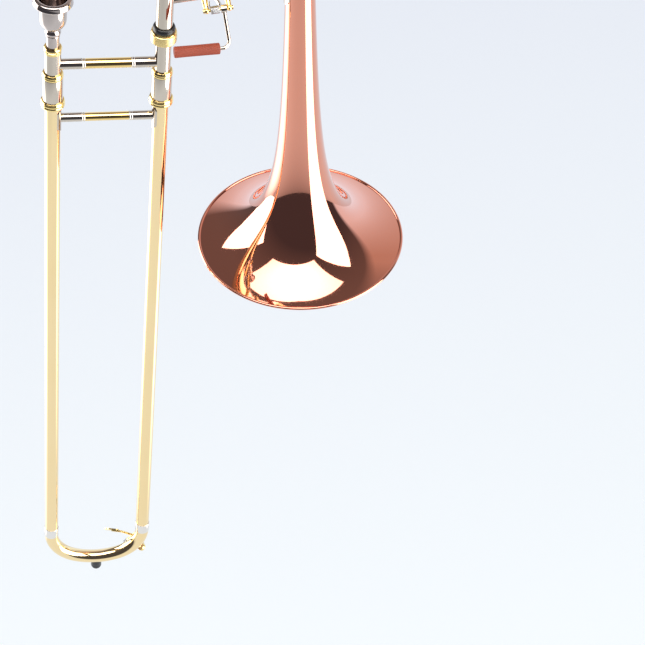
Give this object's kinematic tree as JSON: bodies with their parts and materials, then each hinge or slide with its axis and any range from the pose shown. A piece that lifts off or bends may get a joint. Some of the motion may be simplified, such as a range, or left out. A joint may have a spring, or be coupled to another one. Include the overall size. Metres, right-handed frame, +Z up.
{
  "type": "trombone",
  "caption": "Tenor trombone with a sliding outer slide, swivelling slide section, thumb-operated rotary valve, tuning slides, water key and a copper-coloured bell.",
  "frame": {"origin": "centre of the bell mouth, in the plane of the rim", "axes": "+Z up along the bell axis with the mouth facing -Z, +X from the slide towards the bell, +Y away from the thumb lever's side"},
  "size_m": [0.4129, 0.2168, 1.2893],
  "materials": {
    "copper": "mirror polished, lacquered red copper",
    "brass": "mirror polished, lacquered yellow brass",
    "bright_brass": "polished yellow brass",
    "nickel": "polished nickel silver",
    "silver": "polished silver plate",
    "chrome": "hard chrome, honed",
    "spring_steel": "bright spring steel",
    "black_rubber": "moulded black rubber",
    "orange_sleeve": "satin orange-red sleeve",
    "cork": "natural cork"
  },
  "bodies": {
    "bell_section": {"bell_flare": "copper", "bell_stem": "copper", "bell_rim": "copper", "neckpipe": "nickel", "tenon_socket": "nickel", "front_brace_tube": "brass", "front_brace_sockets": "nickel", "lever_posts": "bright_brass", "lever_hinge_screw": "bright_brass", "lever_spring": "spring_steel", "valve_casing": "brass", "valve_bearing_plate": "bright_brass", "valve_cap": "bright_brass", "stop_bumpers": "cork", "valve_to_tuning_leg": "brass", "tuning_sleeves": "nickel", "rear_brace": "brass", "f_upper_tube": "brass", "f_lower_tube": "brass", "f_sleeves": "nickel", "f_stays": "bright_brass"},
    "lock_nut": {"lock_nut": "bright_brass", "nut_rubber_ring": "black_rubber"},
    "inner_slide": {"slide_tenon": "nickel", "mouthpiece_receiver": "nickel", "receiver_ring": "bright_brass", "leadpipe": "brass", "inner_tubes": "chrome", "inner_stockings": "chrome", "barrels": "nickel", "barrel_rings": "bright_brass", "barrel_corks": "cork", "inner_brace_tube": "brass", "inner_brace_sockets": "nickel"},
    "slide_lock": {"slide_lock_ring": "bright_brass"},
    "outer_slide": {"outer_tube_bell_side": "brass", "outer_tube_mouthpiece_side": "brass", "outer_brace_tube": "brass", "outer_brace_sockets": "nickel", "bow_ferrules": "nickel", "slide_bow": "brass", "bow_bumper": "black_rubber", "water_key_saddle": "bright_brass", "water_key_pin": "spring_steel", "water_key_spring": "spring_steel"},
    "water_key": {"water_key_lever": "bright_brass", "water_key_cork": "cork"},
    "mouthpiece": {"mouthpiece": "silver"},
    "tuning_slide": {"tuning_legs": "nickel", "tuning_crook": "brass", "tuning_slide_brace": "brass"},
    "f_slide": {"f_slide_legs": "nickel", "f_slide_crook": "brass", "f_slide_brace": "brass"},
    "rotor": {"rotor": "bright_brass", "stop_arm": "bright_brass"},
    "thumb_lever": {"lever_arm": "nickel", "thumb_wire": "nickel", "thumb_sleeve": "orange_sleeve"},
    "push_rod": {"push_rod": "nickel"}
  },
  "joints": [
    {"name": "slide_swivel", "type": "hinge", "parent": "bell_section", "child": "inner_slide", "pos_m": [-0.13438, 0, 0.29912], "axis": [0.0767, 0, 0.9971], "range_deg": [-20, 100]},
    {"name": "lock_nut_turn", "type": "hinge", "parent": "bell_section", "child": "lock_nut", "pos_m": [-0.13438, 0, 0.29912], "axis": [0.0767, 0, 0.9971], "range_deg": [0, 720]},
    {"name": "slide_lock_turn", "type": "hinge", "parent": "inner_slide", "child": "slide_lock", "pos_m": [-0.14048, 0, 0.21985], "axis": [0.0767, 0, 0.9971], "range_deg": [0, 25]},
    {"name": "slide_extend", "type": "slide", "parent": "inner_slide", "child": "outer_slide", "axis": [-0.0767, 0, -0.9971], "range_m": [0, 0.6]},
    {"name": "water_key_press", "type": "hinge", "parent": "outer_slide", "child": "water_key", "pos_m": [-0.20141, 0.01322, -0.46609], "axis": [0.6716, -0.0579, 0.7387], "range_deg": [0, 14], "stiffness_Nm_per_rad": 0.12, "springref_deg": -28.65},
    {"name": "mouthpiece_pull", "type": "slide", "parent": "inner_slide", "child": "mouthpiece", "axis": [0.0767, 0, 0.9971], "range_m": [0, 0.07]},
    {"name": "tuning_slide_pull", "type": "slide", "parent": "bell_section", "child": "tuning_slide", "axis": [0, 0, 1], "range_m": [0, 0.065]},
    {"name": "f_slide_pull", "type": "slide", "parent": "bell_section", "child": "f_slide", "axis": [0, 0, 1], "range_m": [0, 0.06]},
    {"name": "thumb_lever_press", "type": "hinge", "parent": "bell_section", "child": "thumb_lever", "pos_m": [-0.08, -0.015, 0.3332], "axis": [1, 0, 0], "range_deg": [0, 16.59], "stiffness_Nm_per_rad": 0.35, "springref_deg": -20.05},
    {"name": "push_rod_tilt", "type": "hinge", "parent": "thumb_lever", "child": "push_rod", "pos_m": [-0.0916, 0.03349, 0.32613], "axis": [1, 0, 0], "range_deg": [-16.6, 0]},
    {"name": "rotor_turn", "type": "hinge", "parent": "bell_section", "child": "rotor", "pos_m": [-0.098, 0, 0.462], "axis": [0, 1, 0], "range_deg": [0, 90]}
  ],
  "couplings": [
    {"joint": "push_rod_tilt", "follows": "thumb_lever_press", "ratio": -1},
    {"joint": "rotor_turn", "follows": "thumb_lever_press", "ratio": 5.423}
  ]
}
